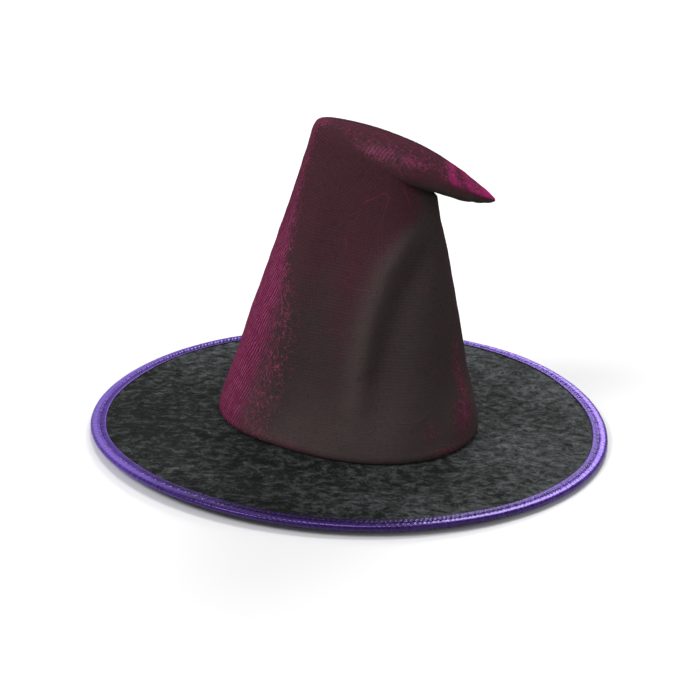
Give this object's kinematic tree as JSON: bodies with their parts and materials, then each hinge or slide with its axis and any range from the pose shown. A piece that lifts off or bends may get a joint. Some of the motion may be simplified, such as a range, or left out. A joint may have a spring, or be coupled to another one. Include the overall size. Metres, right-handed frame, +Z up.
{
  "type": "witch hat",
  "caption": "Wide-brimmed witch hat: a tall soft cone whose peak folds over to one side, on a flat velvet brim with a padded satin edge.",
  "frame": {"origin": "centre of the brim, at the level of the surface that its bound edge rests on", "axes": "+Z up along the crown, -Y towards the front, +X the side that the peak folds over to"},
  "size_m": [0.3799, 0.38, 0.2285],
  "materials": {
    "shot_fabric": "two-colour taffeta weave with a magenta sheen",
    "interlining": "matte nonwoven",
    "lining": "plain polyester",
    "velvet": "crushed velvet",
    "foam": "closed-cell foam board",
    "underlining": "plain matte cloth",
    "satin": "glossy satin",
    "hoop_steel": "spring steel",
    "thread": "polyester thread",
    "band_twill": "cotton twill",
    "label": "blank satin label"
  },
  "bodies": {
    "hat": {"crown_shell": "shot_fabric", "crown_interlining": "interlining", "crown_lining": "lining", "back_seam_allowances": "shot_fabric", "brim_velvet": "velvet", "brim_core": "foam", "brim_underlining": "underlining", "brim_binding": "satin", "edge_hoop": "hoop_steel", "hoop_ferrule": "hoop_steel", "binding_thread": "thread", "sweatband": "band_twill", "head_seam_thread": "thread", "band_thread": "thread", "care_label": "label"},
    "peak": {"peak_shell": "shot_fabric", "peak_interlining": "interlining"}
  },
  "joints": [
    {"name": "peak_fold", "type": "hinge", "parent": "hat", "child": "peak", "pos_m": [-0.0318, 0, 0.2271], "axis": [0, -1, 0], "range_deg": [0, 60]}
  ]
}
